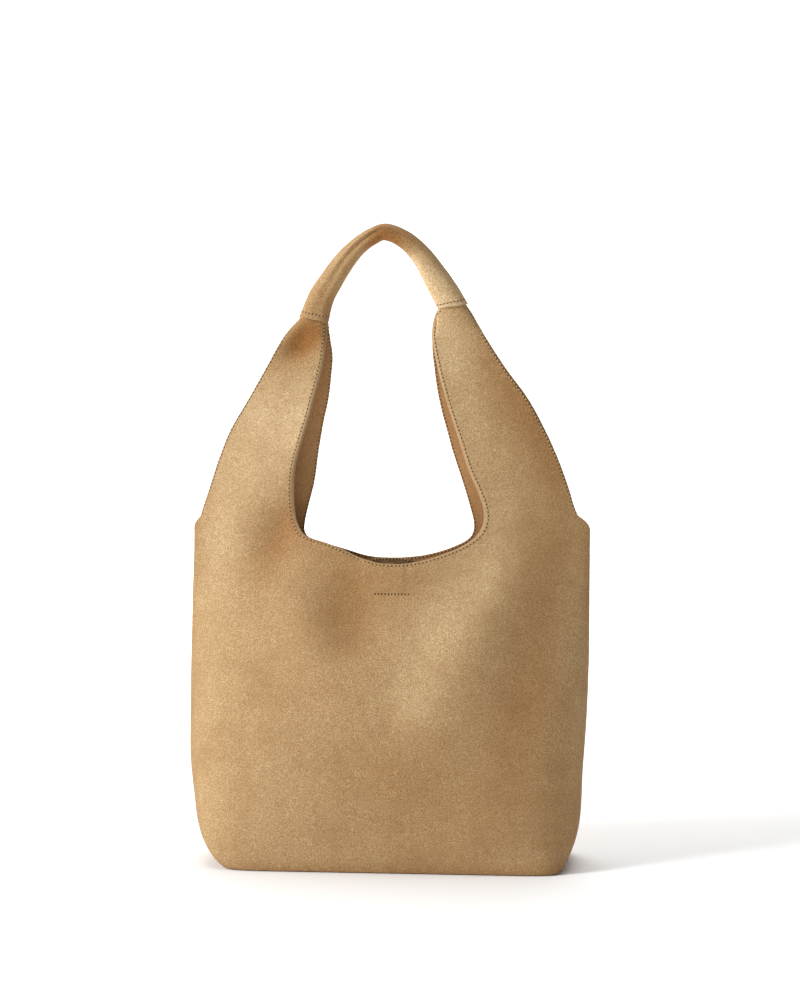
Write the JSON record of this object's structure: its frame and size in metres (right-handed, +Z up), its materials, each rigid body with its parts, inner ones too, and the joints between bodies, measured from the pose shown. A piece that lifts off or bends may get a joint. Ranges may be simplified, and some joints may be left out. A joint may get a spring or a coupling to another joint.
{
  "type": "hobo bag",
  "caption": "Soft unlined suede hobo bag: two ears run up from a scooped mouth into one short folded handle; boxed flat base, magnetic snap and a zipped pocket inside.",
  "frame": {"origin": "middle of the base panel's flat underside", "axes": "+Z up, +X to the right as seen from the front, the front face towards -Y"},
  "size_m": [0.3625, 0.1201, 0.5778],
  "materials": {
    "suede": "napped suede, light tan",
    "facing_leather": "matt brown",
    "pocket_cloth": "plain cotton twill",
    "tape": "woven tape",
    "base_board": "plain sheet",
    "core_cord": "cotton cord",
    "coil": "nylon",
    "aged_brass": "brushed and aged",
    "washer_steel": "plain"
  },
  "bodies": {
    "bag": {"front_panel": "suede", "back_panel": "suede", "base_panel": "suede", "base_stiffener": "base_board", "base_liner": "facing_leather", "side_binding_left": "tape", "side_binding_right": "tape", "snap_patch_front": "facing_leather", "snap_patch_back": "facing_leather", "snap_washer_front": "washer_steel", "snap_washer_back": "washer_steel", "snap_socket": "aged_brass", "snap_stud": "aged_brass", "pocket_hanger": "facing_leather", "pocket_rear": "pocket_cloth", "pocket_front": "pocket_cloth", "zip_tape_upper": "tape", "zip_tape_lower": "tape", "zip_coil_upper": "coil", "zip_coil_lower": "coil", "zip_stop_left": "aged_brass", "zip_stop_right": "aged_brass"},
    "handle": {"handle_sleeve": "suede", "handle_core": "core_cord", "ear_tip_left": "suede", "ear_tip_right": "suede"},
    "slider": {"zip_slider": "aged_brass"},
    "puller": {"zip_puller": "aged_brass"}
  },
  "joints": [
    {"name": "handle_fold", "type": "hinge", "parent": "bag", "child": "handle", "pos_m": [0, 0, 0.48765], "axis": [0.995, 0, 0.0995], "range_deg": [-90, 90]},
    {"name": "zip_slide", "type": "slide", "parent": "bag", "child": "slider", "axis": [1, 0, 0], "range_m": [-0.109, 0]},
    {"name": "puller_swing", "type": "hinge", "parent": "slider", "child": "puller", "pos_m": [0.0548, 0.01215, 0.213], "axis": [0, 0, 1], "range_deg": [0, 170]}
  ]
}
